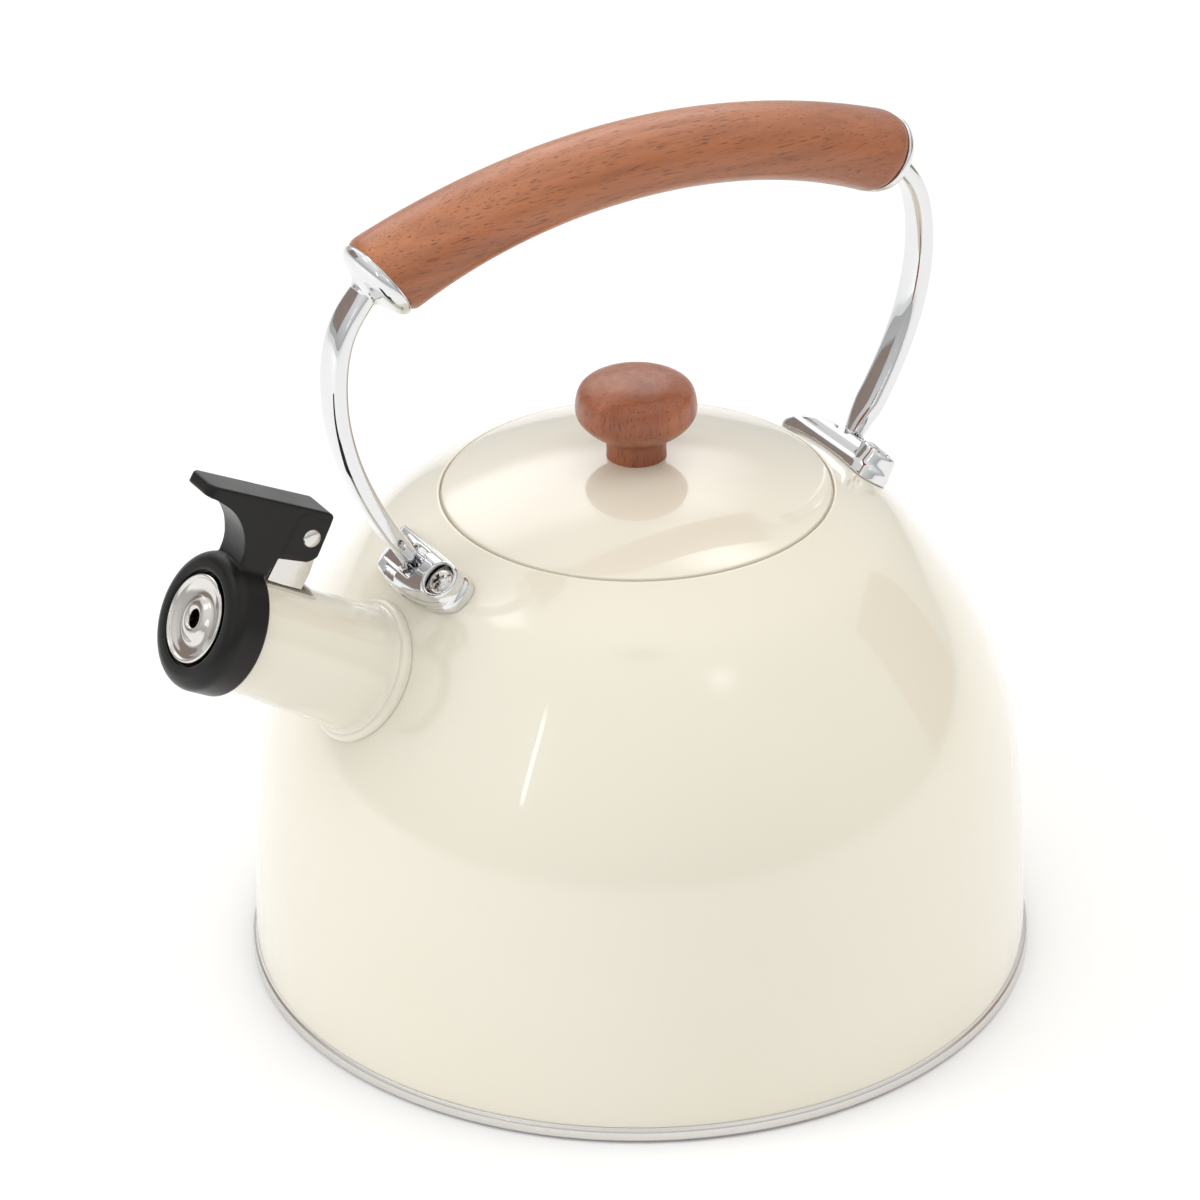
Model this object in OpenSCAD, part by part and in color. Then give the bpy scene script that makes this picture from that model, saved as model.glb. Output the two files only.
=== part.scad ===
// Stovetop whistling kettle: an enamelled steel dome on a steel base, a flush lift-off lid with a
// wooden knob, a bail handle that folds to one side, and a spout closed by a whistle on a flip lever.
// Millimetres, +Z up. The origin is the centre of the face the kettle stands on, the spout points
// along -X, and the bail stands in the XZ plane.

/* [Body] */
// Outer radius of the steel bead around the foot
foot_r = 110; // [109.6:0.1:111]
// Height of the bead around the foot
foot_h = 4.6; // [4.2:0.1:5]
// Thickness of the enamelled sheet
wall = 0.9; // [0.7:0.1:1.1]
// Radius of the recess that the lid drops into
seat_r = 53.6; // [53.4:0.1:54]
// Radius of the mouth under the lid
mouth_r = 50.2; // [50:0.1:50.5]
// Height of the dome's top edge
dome_h = 140; // [139.5:0.5:141]

/* [Base] */
// Radius of the heat spreading disc
spreader_r = 94; // [80:1:96]
// Thickness of the heat spreading disc
spreader_t = 2.5; // [2:0.1:2.6]

/* [Lid] */
// Radius of the lid
lid_r = 53; // [52.6:0.1:53.2]
// Rise of the lid's crown above its rim
lid_rise = 10; // [8:0.5:12]
// Outer radius of the locating ring under the lid
skirt_r = 49.6; // [49:0.1:49.8]
// Depth of the locating ring
skirt_h = 10; // [6:1:14]
// Widest radius of the wooden knob
knob_r = 16.5; // [15:0.5:18]

/* [Spout] */
// Angle of the spout above the horizontal
spout_angle = 32.3; // [31.5:0.1:33]
// Distance of the spout's root from the kettle's axis
spout_x = 86; // [85.5:0.1:86.5]
// Height of the spout's root
spout_z = 108.2; // [108:0.1:109]
// Length of the spout along its own axis
spout_l = 50; // [48:0.5:50.5]
// Outer radius of the spout at its root
spout_root_r = 17.5; // [17.2:0.1:17.8]
// Outer radius of the spout at its mouth
spout_mouth_r = 15.5; // [15.3:0.1:15.6]

/* [Whistle] */
// Outer radius of the whistle cap
cap_r = 18.8; // [18.5:0.1:19.5]
// Angle that the whistle cap leans back on the spout
cap_lean = 3.5; // [0:0.5:4]
// Width of the flip lever
lever_w = 12.4; // [12:0.2:13]
// Radius of the whistle's steel disc
disc_r = 11.2; // [10:0.1:11.6]
// Radius of the hole that sounds the whistle
whistle_hole_r = 2.4; // [1.5:0.1:3]

/* [Handle] */
// Distance of each handle pivot from the kettle's axis
pivot_x = 69; // [68.9:0.1:69.2]
// Height of the handle pivots
pivot_z = 134.8; // [134.7:0.1:135]
// Thickness of an arm
arm_t = 5.2; // [4.8:0.1:5.4]
// Width of an arm
arm_w = 9.6; // [8:0.1:10]
// Half the distance between the grip's ends
grip_x = 76.3; // [76:0.1:77]
// Height of the middle of the grip's axis
grip_z = 236.8; // [236:0.2:238]
// Radius that the grip is bent to
grip_bend_r = 196; // [190:1:210]

/* [Fits] */
// Radial clearance of a pin in its bearing
run_gap = 0.05; // [0.03:0.01:0.1]
// Radius of the handle's pivot pins
pivot_pin_r = 1.2; // [1:0.05:1.25]
// Radius of the whistle's hinge pin
hinge_pin_r = 1.5; // [1.3:0.05:1.6]
// Radius of the screws' shanks
screw_r = 1.95; // [1.8:0.05:1.95]

/* [Hidden] */
$fn = 96;
far = 400;

enamel = "#efeadc";
steel = "#b9bcc0";
chrome = "#d8dade";
wood = "#a8643a";
black = "#232325";

// ---- curves ----
// One span of a Catmull-Rom curve
function span_point(a, b, c, d, t) =
    0.5 * (2 * b + (c - a) * t + (2 * a - 5 * b + 4 * c - d) * t * t
           + (3 * b - a - 3 * c + d) * t * t * t);
// A smooth curve through pts, with n steps in each span
function smooth(pts, n) = concat(
    [for (i = [0 : len(pts) - 2]) for (k = [0 : n - 1])
        span_point(pts[max(i - 1, 0)], pts[i], pts[i + 1], pts[min(i + 2, len(pts) - 1)], k / n)],
    [pts[len(pts) - 1]]);
function reverse(v) = [for (i = [len(v) - 1 : -1 : 0]) v[i]];
function unit(v) = v / norm(v);
function along(v, i) = unit(v[min(i + 1, len(v) - 1)] - v[max(i - 1, 0)]);
// The same curve moved to its left by w
function moved(v, w) = [for (i = [0 : len(v) - 1]) v[i] + w * [-along(v, i)[1], along(v, i)[0]]];
function mix(a, b, t) = a + (b - a) * t;
function arc2(c, r, a0, a1, n) =
    [for (k = [0 : n]) c + r * [cos(mix(a0, a1, k / n)), sin(mix(a0, a1, k / n))]];

// A solid skinned over rings that all have the same number of points
module skin(rings) {
    n = len(rings[0]);
    m = len(rings);
    sides = [for (j = [0 : m - 2]) for (i = [0 : n - 1])
        [j * n + i, j * n + (i + 1) % n, (j + 1) * n + (i + 1) % n, (j + 1) * n + i]];
    ends = [[for (i = [n - 1 : -1 : 0]) i], [for (i = [0 : n - 1]) (m - 1) * n + i]];
    polyhedron([for (r = rings) for (p = r) p], concat(sides, ends));
}
// An oval ring of half thickness a and half width b across the XZ direction that turns by angle
function oval(centre, angle, a, b, n) = [for (i = [0 : n - 1])
    let (u = a * cos(360 * i / n), v = b * sin(360 * i / n))
    [centre[0] - u * sin(angle), v, centre[1] + u * cos(angle)]];

// ---- places ----
// Moves children to the spout's root, with Z out along the spout and X up across it
module at_spout() translate([-spout_x, 0, spout_z]) rotate([0, spout_angle - 90, 0]) children();
// Mirrors the handle's front half to the rear
module rear() mirror([1, 0, 0]) children();
// The frame of the bracket: Z out of the dome, X down its slope, Y towards the rear side
bracket_slope = 40;
bracket_x = 67.2;
bracket_z = 131.9;
module at_bracket() translate([-bracket_x, 0, bracket_z]) rotate([0, -bracket_slope, 0])
    mirror([1, 0, 0]) children();
module at_screw() at_bracket() translate([-screw_u, -screw_y, 0]) rotate([screw_tilt, 0, 0])
    children();
screw_u = 1.9;
screw_y = 13.6;
screw_tilt = 8;

// ---- body ----
dome_curve = smooth([[foot_r - 1.2, foot_h], [108.2, 26], [107, 48], [103.9, 72], [96.5, 92.5],
                     [84.5, 112.5], [70.8, 129], [seat_r, dome_h]], 5);
dome_inside = moved(dome_curve, wall);
seat_z = dome_h - 1.6;

module dome_solid() rotate_extrude($fn = 144)
    polygon(concat([[0, foot_h]], dome_curve, [[0, dome_h]]));

module spout_bore() at_spout()
    translate([0, 0, -30]) cylinder(r = spout_root_r - 1.6, h = 60);

module body_shell() color(enamel) difference() {
    rotate_extrude($fn = 144) polygon(concat(
        dome_curve,
        [[seat_r, seat_z], [mouth_r, seat_z], [mouth_r, seat_z - wall], [seat_r, seat_z - wall]],
        reverse([for (p = dome_inside) if (p[1] < seat_z - 2 * wall) p])));
    intersection() {
        spout_bore();
        translate([-far / 2, 0, 0]) cube([far, far, far], center = true);
    }
    for (side = [0, 1]) mirror([side, 0, 0]) at_screw()
        translate([0, 0, -12]) cylinder(r = boss_r, h = 24, $fn = 48);
}

pan_floor_z = 3.8;
module base_pan() color(steel) rotate_extrude($fn = 144) union() {
    polygon(concat(
        [[0, pan_floor_z - wall], [foot_r - 4.5, pan_floor_z - wall], [foot_r - 4.5, 0.4]],
        arc2([foot_r - 1.4, 1.8], 1.4, -90, 0, 6),
        arc2([foot_r - 1.4, foot_h - 1.4], 1.4, 0, 90, 6),
        [[foot_r - 3, foot_h], [foot_r - 3, 15], [foot_r - 3.6, 15], [foot_r - 3.6, pan_floor_z],
         [0, pan_floor_z]]));
}

spreader_z = pan_floor_z - wall - spreader_t;
module heat_spreader() color("#c9ccd0")
    translate([0, 0, spreader_z]) cylinder(r = spreader_r, h = spreader_t, $fn = 144);

cover_t = spreader_z;
module base_cover() color(steel) rotate_extrude($fn = 144)
    polygon(concat([[0, 0]], arc2([spreader_r - 0.6, 1.2], 1.2, -90, 0, 5),
                   [[spreader_r + 0.6, pan_floor_z - wall], [spreader_r, pan_floor_z - wall],
                    [spreader_r, cover_t], [0, cover_t]]));

// ---- spout ----
function spout_r(s) = mix(spout_root_r, spout_mouth_r, s / spout_l);
spout_wall = 1;
collar_r = 19.8;
module spout_tube() color(enamel) difference() {
    at_spout() rotate_extrude()
        polygon(concat(
            [[spout_root_r - 1.6, -14], [collar_r - 0.6, -14], [collar_r, -1.4]],
            arc2([collar_r - 1.7, 0.4], 1.7, 0, 100, 6),
            [[spout_r(4.5), 4.5], [spout_r(46), 46], [spout_mouth_r, spout_l],
             [spout_mouth_r - spout_wall, spout_l], [spout_r(6) - spout_wall, 6]]));
    dome_solid();
}

saddle_s0 = 28.5;
saddle_s1 = 44.5;
saddle_w = 10.4;
ear_y = 3.5;
ear_t = 0.9;
hinge_s = 39.1;
hinge_h = 31.1;
module spout_bracket() color(steel) at_spout() {
    intersection() {
        rotate_extrude() polygon([[spout_r(saddle_s0), saddle_s0], [spout_r(saddle_s0) + ear_t, saddle_s0],
                                  [spout_r(saddle_s1) + ear_t, saddle_s1], [spout_r(saddle_s1), saddle_s1]]);
        translate([0, -saddle_w / 2, 0]) cube([far, saddle_w, far]);
    }
    for (side = [-1, 1]) difference() {
        translate([0, side * (ear_y + ear_t / 2), 0]) rotate([90, 0, 0])
            linear_extrude(ear_t, center = true) union() {
                polygon([[spout_mouth_r + 0.2, saddle_s1 - 11.3], [spout_mouth_r + 0.2, saddle_s1],
                         [22, saddle_s1], [hinge_h, hinge_s + 4.2], [hinge_h, hinge_s - 4.2],
                         [22, saddle_s1 - 11.3]]);
                translate([hinge_h, hinge_s]) circle(r = 4.2, $fn = 48);
            }
        translate([hinge_h, 0, hinge_s]) rotate([90, 0, 0])
            cylinder(r = hinge_pin_r + run_gap, h = 20, center = true, $fn = 48);
        rotate_extrude() polygon([[0, 0], [spout_root_r, 0], [spout_r(spout_l), spout_l], [0, spout_l]]);
    }
}

// ---- handle brackets ----
boss_r = 4.4;
boss_top = -0.2;
eye_r = 2.3;
eye_t = 4.4;
side_gap = 0.4;
slot_half_w = arm_t / 2 + 0.5;
low_wall_h = 2.6;
mid_wall_h = 4.9;
cheek_y = pivot_pin_r + 0.8;
pivot_u = (pivot_x - bracket_x) * cos(bracket_slope) - (pivot_z - bracket_z) * sin(bracket_slope);

// Plan of the bracket: straight towards the lid, bowed away from it
bracket_bow = smooth([[-7.6, -13.5], [-6.4, -18.2], [-2, -20.3], [2.6, -19], [6, -12.6], [7.5, -4.5],
                      [7.6, 4], [6.4, 13.5], [3.8, 19.4], [-0.4, 22], [-5, 21.6], [-7.5, 17.5]], 3);
module bracket_plan(inset) offset(delta = -inset) polygon(bracket_bow);

module bracket() color(chrome) difference() {
    at_bracket() union() {
        translate([0, 0, -6]) linear_extrude(7.8) bracket_plan(0);
        translate([0, 0, -6]) linear_extrude(9.4) bracket_plan(0.8);
        translate([0, 0, -6]) linear_extrude(12.2) bracket_plan(1.4);
    }
    dome_solid();
    // room for the arm's eye, and a slot that the arm folds along, open at its far end
    translate([-pivot_x - eye_t / 2 - side_gap, -eye_r - 0.6, pivot_z - eye_r - 0.4])
        cube([eye_t + 2 * side_gap, 2 * eye_r + 1.2, 30]);
    at_bracket() translate([-slot_half_w + pivot_u, -eye_r - 2, 1.2]) cube([2 * slot_half_w, 60, 30]);
    // both walls are lower past the pivot, so that the folded arm lies over the outer one
    at_bracket() translate([pivot_u, cheek_y, low_wall_h]) cube([20, 60, 20]);
    at_bracket() translate([-20, cheek_y, mid_wall_h]) cube([40, 60, 20]);
    // the bracket sits down over the boss that its screw goes into
    at_screw() translate([0, 0, -20]) cylinder(r = boss_r, h = 20 + boss_top, $fn = 48);
    at_screw() translate([0, 0, 3.4]) cylinder(r = 4.3, h = 20, $fn = 64);
    at_screw() translate([0, 0, -20]) cylinder(r = screw_r + 0.1, h = 40, $fn = 48);
    translate([-pivot_x, 0, pivot_z]) rotate([0, 90, 0])
        cylinder(r = pivot_pin_r, h = 40, center = true, $fn = 48);
}
module front_bracket() bracket();
module rear_bracket() rear() bracket();

module bracket_screw() color(steel) at_screw() difference() {
    union() {
        translate([0, 0, -9]) cylinder(r = screw_r, h = 13, $fn = 48);
        rotate_extrude($fn = 64) polygon(concat([[0, 3.4], [3.9, 3.4], [3.9, 4.4]],
                                                [[3.4, 5.3], [2.4, 5.9], [1.2, 6.2], [0, 6.3]]));
    }
    for (a = [0, 90]) rotate([0, 0, 25 + a]) translate([-2.2, -0.5, 4.8]) cube([4.4, 1, 4]);
}
module front_bracket_screw() bracket_screw();
module rear_bracket_screw() rear() bracket_screw();

module weld_boss() color(steel) difference() {
    at_screw() translate([0, 0, -9]) cylinder(r = boss_r, h = 9 + boss_top, $fn = 48);
    at_screw() translate([0, 0, -20]) cylinder(r = screw_r + run_gap, h = 40, $fn = 48);
}
module front_weld_boss() weld_boss();
module rear_weld_boss() rear() weld_boss();

module pivot_pin() color(steel) translate([-pivot_x, 0, pivot_z]) rotate([0, 90, 0])
    cylinder(r = pivot_pin_r, h = 8.6, center = true, $fn = 48);
module front_pivot_pin() pivot_pin();
module rear_pivot_pin() rear() pivot_pin();

// ---- handle ----
grip_turn = asin(grip_x / grip_bend_r);
end_tilt = 33;
grip_end_z = grip_z - grip_bend_r * (1 - cos(grip_turn));
// Direction out of the grip's front end
end_dir = [-cos(end_tilt), -sin(end_tilt)];
grip_end = [-grip_x, grip_end_z];
ferrule_t = 4;
tenon_r = 2.8;
arm_top = grip_end + end_dir * ferrule_t;

arm_curve = smooth([[-pivot_x, pivot_z], [-72.4, 141], [-77.6, 149], [-83.4, 160], [-88, 172],
                    [-90.6, 184], [-91, 195], [-89.6, 204.5], [-86.6, 211.5], arm_top + end_dir * 2,
                    arm_top], 3);
function arm_ring(i) =
    let (p = arm_curve[i], q = i / (len(arm_curve) - 1), d = q < 1 ? along(arm_curve, i) : -end_dir,
         low = min(1, q / 0.16), top = max(0, (q - 0.8) / 0.2))
    oval(p, atan2(d[1], d[0]), mix(mix(eye_t / 2, arm_t / 2, low), 3.2, top),
         mix(mix(eye_r, arm_w / 2, low), 4, top), 16);

module tenon(r, l, extra) translate([grip_end[0], 0, grip_end[1]]) rotate([0, 90 - end_tilt, 0])
    translate([0, 0, -extra]) cylinder(r = r, h = l + extra, $fn = 48);

module arm() color(chrome) difference() {
    union() {
        skin([for (i = [0 : len(arm_curve) - 1]) arm_ring(i)]);
        translate([-pivot_x, 0, pivot_z]) rotate([0, 90, 0])
            cylinder(r = eye_r, h = eye_t, center = true, $fn = 48);
        tenon(tenon_r, 15, ferrule_t + 0.5);
    }
    translate([-pivot_x, 0, pivot_z]) rotate([0, 90, 0])
        cylinder(r = pivot_pin_r + run_gap, h = 20, center = true, $fn = 48);
    grip_pin_at() cylinder(r = grip_pin_r, h = 40, center = true, $fn = 48);
}
module front_arm() arm();
module rear_arm() rear() arm();

// Oval end cap between the arm and the grip, pierced by the arm's tenon
ferrule_steps = [[0, 1], [0.3, 1], [0.6, 0.97], [0.85, 0.89], [1, 0.74]];
module ferrule() color(chrome) difference() {
    skin([for (k = ferrule_steps)
        oval(grip_end + end_dir * (k[0] * ferrule_t), 180 + end_tilt, 11.2 * k[1], 13 * k[1], 40)]);
    tenon(tenon_r, 30, 30);
}
module front_ferrule() ferrule();
module rear_ferrule() rear() ferrule();

grip_pin_r = 1.25;
module grip_pin_at() translate([grip_end[0], 0, grip_end[1]]) rotate([0, 90 - end_tilt, 0])
    translate([0, 0, 9]) rotate([0, 90, 0]) children();
module grip_pin() color(steel) grip_pin_at() translate([0, 0, -3.4])
    cylinder(r = grip_pin_r, h = 13.4, $fn = 48);
module front_grip_pin() grip_pin();
module rear_grip_pin() rear() grip_pin();

// Half thickness and half width of the grip at q, from -1 at the front end to 1 at the rear end
function grip_a(q) = 10 + 1.4 * pow(abs(q), 3);
function grip_b(q) = 11.8 + 1.5 * pow(abs(q), 3);
function grip_ring(q) =
    let (turn = grip_turn * q, flare = (end_tilt - grip_turn) * pow(abs(q), 5) * sign(q))
    oval([grip_bend_r * sin(turn), grip_z - grip_bend_r * (1 - cos(turn))],
         -turn - flare, grip_a(q), grip_b(q), 32);
module grip_bores() {
    tenon(tenon_r, 15.4, 5);
    grip_pin_at() translate([0, 0, -3.6]) cylinder(r = grip_pin_r, h = 30, $fn = 48);
}
module grip() color(wood) difference() {
    skin([for (k = [-12 : 12]) grip_ring(k / 12)]);
    grip_bores();
    rear() grip_bores();
}

// ---- lid ----
lid_z = seat_z;
lid_edge_h = dome_h - seat_z;
lid_ball_r = (lid_r * lid_r + lid_rise * lid_rise) / (2 * lid_rise);
lid_top = dome_h + lid_rise;
lid_edge_a = asin(lid_r / lid_ball_r);
function lid_arc(r, n) = arc2([0, lid_top - lid_ball_r], r, 90, 90 - lid_edge_a, n);
module lid_shell() color(enamel) difference() {
    rotate_extrude($fn = 144) polygon(concat(
        lid_arc(lid_ball_r, 14),
        [[lid_r, lid_z], [lid_r - 0.9, lid_z]],
        reverse(lid_arc(lid_ball_r - wall, 14))));
    translate([0, 0, lid_top - 10]) cylinder(r = screw_r + 0.15, h = 20, $fn = 48);
}

skirt_t = 0.8;
module lid_skirt() color(steel) rotate_extrude($fn = 144)
    polygon([[skirt_r - skirt_t, seat_z - skirt_h], [skirt_r, seat_z - skirt_h],
             [skirt_r, skirt_top(skirt_r)], [skirt_r - skirt_t, skirt_top(skirt_r - skirt_t)]]);
function skirt_top(r) = lid_top - lid_ball_r + sqrt(pow(lid_ball_r - wall, 2) - r * r) - 0.02;

knob_mid = lid_top + 15;
knob_curve = smooth([[8.6, lid_top], [7.9, lid_top + 3], [8.4, lid_top + 6], [12.6, lid_top + 8.2],
                     [15.8, lid_top + 11.4], [knob_r, knob_mid], [15.2, knob_mid + 4.6],
                     [10.8, knob_mid + 7.2], [5, knob_mid + 8.2], [0, knob_mid + 8.4]], 4);
module knob() color(wood) difference() {
    rotate_extrude() polygon(concat([[0, lid_top - 0.2]], knob_curve));
    translate([0, 0, lid_top - 5]) cylinder(r = screw_r, h = 17, $fn = 48);
    rotate_extrude($fn = 144) polygon(concat([[0, 0]], reverse(lid_arc(lid_ball_r, 14)), [[lid_r, 0]]));
}
module knob_washer() color(steel) translate([0, 0, lid_top - wall - 1.2]) difference() {
    cylinder(r = 7, h = 1, $fn = 64);
    translate([0, 0, -1]) cylinder(r = screw_r + 0.15, h = 4, $fn = 48);
}
module knob_screw() color(steel) union() {
    translate([0, 0, lid_top - wall - 3]) cylinder(r = screw_r, h = 14, $fn = 48);
    translate([0, 0, lid_top - wall - 3.6]) cylinder(r = 3.9, h = 2.4, $fn = 64);
}

// ---- whistle ----
cap_back = 46;
cap_front = 57;
recess_r = 12.9;
cap_bore_r = spout_mouth_r + 0.35;
module at_cap() at_spout() translate([0, 0, cap_back]) rotate([0, -cap_lean, 0])
    translate([0, 0, -cap_back]) children();

// Side outline of the lever: a thumb plate on top, a hollow front edge and a heel at the hinge
lever_side = concat(
    [[cap_r - 3, cap_back + 0.6], [22.9, 45.7], [24.5, 36.6], [25.2, 35], [26.6, 34.4],
     [37.2, 35.1], [38.6, 35.6], [39, 36.9], [35.5, 73.2], [35.1, 73.7], [32.4, 73.2]],
    smooth([[32.4, 72.2], [31.4, 66.5], [29.6, 62.4], [26.2, 58.6], [21.4, 56], [cap_r - 3, 55.2]], 3));

module whistle_lever() color(black) difference() {
    union() {
        at_cap() rotate_extrude() polygon(concat(
            [[recess_r - 3, cap_back + 6.4], [cap_bore_r, cap_back + 6.4], [cap_bore_r, cap_back],
             [cap_r - 1, cap_back], [cap_r, cap_back + 1]],
            arc2([cap_r - 3.6, cap_front - 3.6], 3.6, 0, 90, 6),
            [[recess_r, cap_front], [recess_r, cap_front - 3.4], [recess_r - 3, cap_front - 3.4]]));
        at_spout() rotate([90, 0, 0]) linear_extrude(lever_w, center = true) polygon(lever_side);
    }
    at_spout() translate([14, -4.7, 30]) cube([22, 9.4, 14.9]);
    at_spout() translate([hinge_h, 0, hinge_s]) rotate([90, 0, 0])
        cylinder(r = hinge_pin_r, h = 20, center = true, $fn = 48);
    at_cap() cylinder(r = cap_bore_r, h = cap_back + 6.4);
    at_cap() translate([0, 0, cap_back + 6]) cylinder(r = recess_r, h = 20);
}

function dish(r0, z0, depth) = [[r0, z0], [r0 + 1.2, z0 + 0.5], [r0 + 3.2, z0 - depth * 0.75],
                                [r0 + 5, z0 - depth], [disc_r - 1.4, z0 - depth * 0.35],
                                [disc_r - 0.7, z0 + 0.3], [disc_r, z0]];
module whistle_front_disc() color(steel) at_cap() rotate_extrude()
    polygon(concat(smooth(dish(whistle_hole_r, cap_front - 0.9, 1.3), 3),
                   [[disc_r, cap_front - 3.4], [disc_r - 0.6, cap_front - 3.4]],
                   reverse(smooth(dish(whistle_hole_r, cap_front - 1.5, 1.3), 3))));
module whistle_rear_disc() color(steel) at_cap() rotate_extrude()
    polygon([[whistle_hole_r, cap_front - 4.4], [recess_r, cap_front - 4.4],
             [recess_r, cap_front - 3.4], [whistle_hole_r, cap_front - 3.4]]);

module hinge_pin() color(steel) at_spout() translate([hinge_h, 0, hinge_s]) rotate([90, 0, 0]) union() {
    cylinder(r = hinge_pin_r, h = lever_w, center = true, $fn = 48);
    for (side = [0, 1]) mirror([0, 0, side]) translate([0, 0, lever_w / 2])
        rotate_extrude($fn = 64) polygon([[0, 0], [2.6, 0], [2.4, 0.5], [1.6, 1], [0.7, 1.2], [0, 1.25]]);
}

body_shell();
base_pan();
heat_spreader();
base_cover();
spout_tube();
spout_bracket();
front_bracket();
rear_bracket();
front_bracket_screw();
rear_bracket_screw();
front_weld_boss();
rear_weld_boss();
front_pivot_pin();
rear_pivot_pin();
front_arm();
rear_arm();
front_ferrule();
rear_ferrule();
grip();
front_grip_pin();
rear_grip_pin();
lid_shell();
lid_skirt();
knob();
knob_screw();
knob_washer();
whistle_lever();
whistle_front_disc();
whistle_rear_disc();
hinge_pin();
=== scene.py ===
# %% [markdown]
# A stovetop whistling kettle: a cream enamelled dome on a steel foot ring, a flush lid with a turned
# wooden knob, a bail of two chromed arms and a bent wooden grip, and a spout that a black whistle
# closes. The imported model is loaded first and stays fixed. Every new piece is made in place round it.

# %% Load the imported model
import math

import bmesh
import bpy
from mathutils import Matrix, Vector


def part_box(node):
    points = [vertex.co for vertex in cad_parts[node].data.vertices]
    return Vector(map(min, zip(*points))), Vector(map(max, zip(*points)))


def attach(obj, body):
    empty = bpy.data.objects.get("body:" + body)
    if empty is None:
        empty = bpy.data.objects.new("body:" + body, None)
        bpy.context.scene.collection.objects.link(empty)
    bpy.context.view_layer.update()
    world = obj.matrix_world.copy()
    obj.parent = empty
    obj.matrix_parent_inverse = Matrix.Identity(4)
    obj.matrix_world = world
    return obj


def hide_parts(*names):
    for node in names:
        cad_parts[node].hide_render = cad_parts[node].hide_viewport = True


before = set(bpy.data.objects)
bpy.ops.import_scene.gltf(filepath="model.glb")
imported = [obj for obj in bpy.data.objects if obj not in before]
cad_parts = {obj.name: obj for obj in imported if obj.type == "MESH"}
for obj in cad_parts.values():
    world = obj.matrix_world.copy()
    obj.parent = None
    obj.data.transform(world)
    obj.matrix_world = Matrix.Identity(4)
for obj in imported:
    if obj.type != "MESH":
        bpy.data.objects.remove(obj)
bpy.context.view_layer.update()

# %% [markdown]
# The camera stands 1.4 m away with a long 150 mm lens, so the kettle is seen almost without
# perspective. Its place is worked out from an azimuth and an elevation round a target on the axis,
# and three small turns settle the framing.

# %% Camera
AZIMUTH, ELEVATION, DISTANCE = math.radians(-31.0), math.radians(28.71), 1.37683
TARGET = Vector((0, 0, 0.1))
PITCH, YAW, ROLL = math.radians(0.18), math.radians(-0.43), math.radians(-0.42)
LENS, SENSOR, FAR = 150, 36, 50

back = Vector((math.sin(AZIMUTH) * math.cos(ELEVATION),
               -math.cos(AZIMUTH) * math.cos(ELEVATION), math.sin(ELEVATION)))
ahead, across = -back, (-back).cross(Vector((0, 0, 1))).normalized()
above = across.cross(ahead)
ahead, above = (ahead * math.cos(PITCH) + above * math.sin(PITCH),
                above * math.cos(PITCH) - ahead * math.sin(PITCH))
ahead, across = (ahead * math.cos(YAW) + across * math.sin(YAW),
                 across * math.cos(YAW) - ahead * math.sin(YAW))
across, above = (across * math.cos(ROLL) + above * math.sin(ROLL),
                 above * math.cos(ROLL) - across * math.sin(ROLL))
camera = bpy.data.objects.new("camera", bpy.data.cameras.new("camera"))
bpy.context.scene.collection.objects.link(camera)
bpy.context.scene.camera = camera
camera.data.lens, camera.data.sensor_width = LENS, SENSOR
camera.data.clip_end = FAR
camera.matrix_world = (Matrix.Translation(TARGET + back * DISTANCE)
                       @ Matrix((across, above, -ahead)).transposed().to_4x4())
print("camera at", [round(v, 3) for v in camera.location])

# %% [markdown]
# A material is a small graph of shader nodes. This helper starts one with a Principled shader and
# sets its plain sockets, and the next one adds a node and its links, so that each finish below can be
# read as a short recipe.


# %% Material helpers
def new_finish(name, **sockets):
    """A material with a Principled shader, its sockets set by name with _ for a space."""
    finish = bpy.data.materials.new(name)
    finish.use_nodes = True
    shader = finish.node_tree.nodes["Principled BSDF"]
    for key, value in sockets.items():
        shader.inputs[key.replace("_", " ")].default_value = value
    print("finish:", name)
    return finish, finish.node_tree, shader


def add(tree, kind, links=None, **settings):
    """A node with settings; links is {input: value or output socket}."""
    node = tree.nodes.new("ShaderNode" + kind)
    for key, value in settings.items():
        setattr(node, key, value)
    for key, value in (links or {}).items():
        if isinstance(value, bpy.types.NodeSocket):
            tree.links.new(value, node.inputs[key])
        else:
            node.inputs[key].default_value = value
    return node


def ramp(tree, source, stops):
    """A colour ramp over source; stops is [(place, colour), ...]."""
    node = add(tree, "ValToRGB", {"Fac": source})
    band = node.color_ramp
    while len(band.elements) < len(stops):
        band.elements.new(0.5)
    for element, (place, colour) in zip(band.elements, stops):
        element.position = place
        element.color = (*colour, 1)
    return node.outputs["Color"]


def grey(v):
    """A colour ramp's stop that stands for a plain value."""
    return (v, v, v)


def noise(tree, vector, scale, detail=2.0, roughness=0.5):
    """Noise read at vector; a larger scale makes smaller spots."""
    return add(tree, "TexNoise", {"Vector": vector, "Scale": scale, "Detail": detail,
                                  "Roughness": roughness}).outputs["Fac"]


def placed(tree, scale=(1, 1, 1), move=(0, 0, 0)):
    """Object coordinates, in metres, stretched and moved."""
    where = add(tree, "TexCoord").outputs["Object"]
    return add(tree, "Mapping", {"Vector": where, "Scale": scale, "Location": move}).outputs["Vector"]


def bumped(tree, shader, height, distance, strength):
    """Bends the shading by height, a pattern as deep as distance in metres."""
    bump = add(tree, "Bump", {"Height": height, "Distance": distance, "Strength": strength})
    tree.links.new(bump.outputs["Normal"], shader.inputs["Normal"])


# %% [markdown]
# Enamel is glass fused to steel: a smooth cream coat that is a little thicker in some places than in
# others. A clear coat over a satin base gives the sharp reflection over the milky body, a very slow
# noise shifts the cream, and a shallow one gives the faint waviness of fired glass.

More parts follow.
